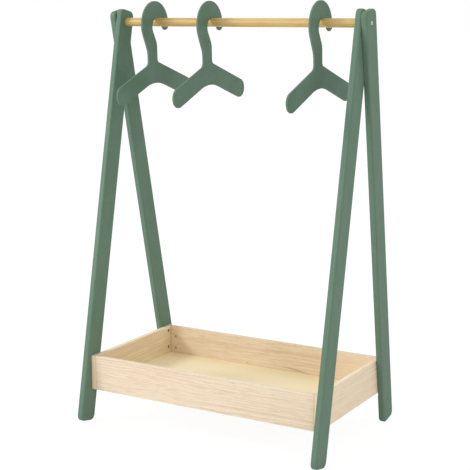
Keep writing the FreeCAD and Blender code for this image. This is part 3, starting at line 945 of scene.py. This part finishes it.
@dataclass
class Fixings:
    """Bolts, screws, nuts and inserts."""

    zinc_nodes: tuple[str, ...] = ("corner_bolts", "barrel_nuts")
    brass_nodes: tuple[str, ...] = ("bar_insert_left", "bar_insert_right")
    zinc: TurnedMetal = TurnedMetal("zinc", light=(0.5, 0.44, 0.36), dark=(0.4, 0.35, 0.28))
    brass: TurnedMetal = TurnedMetal("brass", light=(0.72, 0.55, 0.26), dark=(0.6, 0.44, 0.2))
    nickel: TurnedMetal = TurnedMetal("nickel", light=(0.72, 0.75, 0.72), dark=(0.62, 0.65, 0.62))
    browned: TurnedMetal = TurnedMetal(
        "browned", light=(0.19, 0.13, 0.07), dark=(0.13, 0.09, 0.05), roughness=0.45,
    )
    bolt: SocketScrew = SocketScrew(
        head_radius=0.005, head_height=0.002, dome=0.0018, socket_width=0.0035, socket_depth=0.0016,
        shank_radius=0.003, length=0.048,
    )
    bolt_sink: float = 0.001
    screw: SocketScrew = SocketScrew(
        head_radius=0.004, head_height=0.0011, dome=0.0008, socket_width=0.003, socket_depth=0.0012,
        shank_radius=0.002, length=0.0216,
    )
    screw_sink: float = 0.0014
    screw_inset: float = 0.010
    screw_drop: float = 0.0115
    screw_spacing: float = 0.045
    screw_rows: int = 2
    board_thickness: float = 0.012
    sharp_angle: float = 35.0

    def dress(self, effects: Effects) -> None:
        """Make the heads that show, plate the other steel and leave the brass bare.

        Args:
            effects: The shared effects.
        """
        self.build(effects)
        for nodes, metal in ((self.zinc_nodes, self.zinc), (self.brass_nodes, self.brass)):
            for node in nodes:
                dress(node, metal, effects)

    def build(self, effects: Effects) -> None:
        """Make the heads that show, in place of their plain nodes.

        Args:
            effects: The shared effects.
        """
        for side in Side:
            node, way = f"bar_bolt_{side.word}", side.value
            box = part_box(node)
            rim = middle(box)
            rim.x = face_along_x(box, way) - way * self.bolt_sink
            self.add_piece(node, self.bolt, [(rim, way)], self.nickel, effects)
        self.add_piece("leg_screws", self.screw, self.screw_places(), self.browned, effects)

    def screw_places(self) -> list[Place]:
        """Find where the leg screws sit in the end boards, with their heads towards the tray's inside.

        Returns:
            The middle of each head's rim, and the way along X that it faces.
        """
        places = []
        inset = self.board_thickness + self.screw_inset
        for side in Side:
            box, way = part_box(f"tray_side_board_{side.word}"), -side.value
            x = face_along_x(box, way) - way * self.screw_sink
            for y in (box[0].y + inset, box[1].y - inset):
                for row in range(self.screw_rows):
                    z = box[1].z - self.screw_drop - row * self.screw_spacing
                    places.append((Vector((x, y, z)), way))
        return places

    def add_piece(
        self, node: str, screw: SocketScrew, places: list[Place], metal: TurnedMetal, effects: Effects
    ) -> None:
        """Add screws that stand for a node.

        Args:
            node: The node that they stand for.
            screw: The kind of screw.
            places: Where they go and the way that they face.
            metal: Their finish.
            effects: The shared effects.
        """
        template = screw.build()
        shape = place_copies(template, places)
        bpy.data.meshes.remove(template)
        mesh = bpy.data.meshes.new(f"domed_{node}")
        shape.to_mesh(mesh)
        shape.free()
        mesh.shade_smooth()
        mesh.set_sharp_from_angle(angle=math.radians(self.sharp_angle))
        mesh.materials.append(metal.material(effects, node))
        piece = bpy.data.objects.new(f"domed_{node}", mesh)
        bpy.context.scene.collection.objects.link(piece)
        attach(piece, "frame")
        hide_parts(node)
        LOG.info("built %s in place of %s", piece.name, node)


@dataclass(frozen=True)
class Lamp:
    """A square soft light that faces the rack."""

    name: str
    place: Triple
    side: float
    power: float

    def build(self, aim: Vector) -> None:
        """Hang the lamp.

        Args:
            aim: The point that it faces.
        """
        light = bpy.data.lights.new(self.name, "AREA")
        light.shape = "SQUARE"
        light.size = self.side
        light.energy = self.power
        lamp = bpy.data.objects.new(self.name, light)
        lamp.location = self.place
        lamp.rotation_euler = (aim - Vector(self.place)).to_track_quat("-Z", "Y").to_euler()
        bpy.context.scene.collection.objects.link(lamp)


@dataclass
class Studio:
    """A white studio: floor, soft light and the camera."""

    camera_place: Triple = (1.4271, -2.45848, 1.00126)
    azimuth: float = 30.213
    elevation: float = 10.555
    lens: float = 91.16
    sensor: float = 36.0
    ambient: float = 0.865
    floor_side: float = 60.0
    floor_grey: float = 0.88
    floor_white: float = 0.86
    floor_glow: float = 1.07
    aim: Triple = (0.0, 0.0, 0.5)
    lamps: tuple[Lamp, ...] = (
        Lamp("key", place=(-3.06, -1.88, 2.69), side=1.0, power=63.0),
        Lamp("front_fill", place=(-1.9, -2.9, 1.2), side=1.0, power=11.5),
    )

    def build(self) -> None:
        """Build the world, the floor, the lamps and the camera."""
        self.build_world()
        self.build_floor()
        for lamp in self.lamps:
            lamp.build(Vector(self.aim))
        self.build_camera()

    @staticmethod
    def seen(graph: Graph) -> Socket:
        """Tell rays from the camera, from gloss and through glass from those that only light.

        Args:
            graph: The graph of the floor or the world.

        Returns:
            1 for a ray that sees and 0 for one that only lights.
        """
        path = graph.node("LightPath").outputs
        gloss = graph.math("MAXIMUM", path["Is Glossy Ray"], path["Is Transmission Ray"])
        return graph.math("MAXIMUM", path["Is Camera Ray"], gloss)

    def build_world(self) -> None:
        """Make the white surroundings, which show white and light the rack a little less."""
        world = bpy.data.worlds.new("white_studio")
        world.use_nodes = True
        bpy.context.scene.world = world
        graph = Graph(world.node_tree)
        world.node_tree.nodes.clear()
        dim = graph.node("Background", {"Strength": self.ambient, "Color": WHITE})
        white = graph.node("Background", {"Strength": 1.0, "Color": WHITE})
        graph.blend_shaders(self.seen(graph), dim, white, "OutputWorld")

    def build_floor(self) -> None:
        """Make the pale floor, which looks white and keeps a faint shadow."""
        mesh = bpy.data.meshes.new("floor")
        shape = bmesh.new()
        bmesh.ops.create_grid(shape, x_segments=1, y_segments=1, size=self.floor_side / 2)
        shape.to_mesh(mesh)
        shape.free()
        floor = bpy.data.objects.new("floor", mesh)
        bpy.context.scene.collection.objects.link(floor)
        material = bpy.data.materials.new("pale_floor")
        material.use_nodes = True
        graph = Graph(material.node_tree)
        material.node_tree.nodes.clear()
        grey = (self.floor_grey, self.floor_grey, self.floor_grey)
        lit = graph.node("BsdfDiffuse", {"Color": opaque(grey)})
        white = graph.node("Emission", {"Color": WHITE, "Strength": self.floor_glow})
        share = graph.math("MULTIPLY", self.seen(graph), self.floor_white)
        graph.blend_shaders(share, lit, white, "OutputMaterial")
        mesh.materials.append(material)

    def build_camera(self) -> None:
        """Stand the camera at the photograph's viewing angle."""
        lens = bpy.data.cameras.new("camera")
        lens.sensor_width = self.sensor
        lens.lens = self.lens
        camera = bpy.data.objects.new("camera", lens)
        camera.location = self.camera_place
        camera.rotation_euler = (math.radians(90.0 - self.elevation), 0.0, math.radians(self.azimuth))
        bpy.context.scene.collection.objects.link(camera)
        bpy.context.scene.camera = camera


def main() -> None:
    """Dress the rack and light it."""
    logging.basicConfig(level=logging.INFO, format="%(message)s")
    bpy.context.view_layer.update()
    effects = Effects(TimberFigure().build(), CoatFilm().build())
    for assembly in (Legs(), Hangers(), Bar(), Tray(), Fixings()):
        assembly.dress(effects)
    Studio().build()
    bpy.context.scene.view_settings.view_transform = "Standard"


if __name__ == "__main__":
    main()
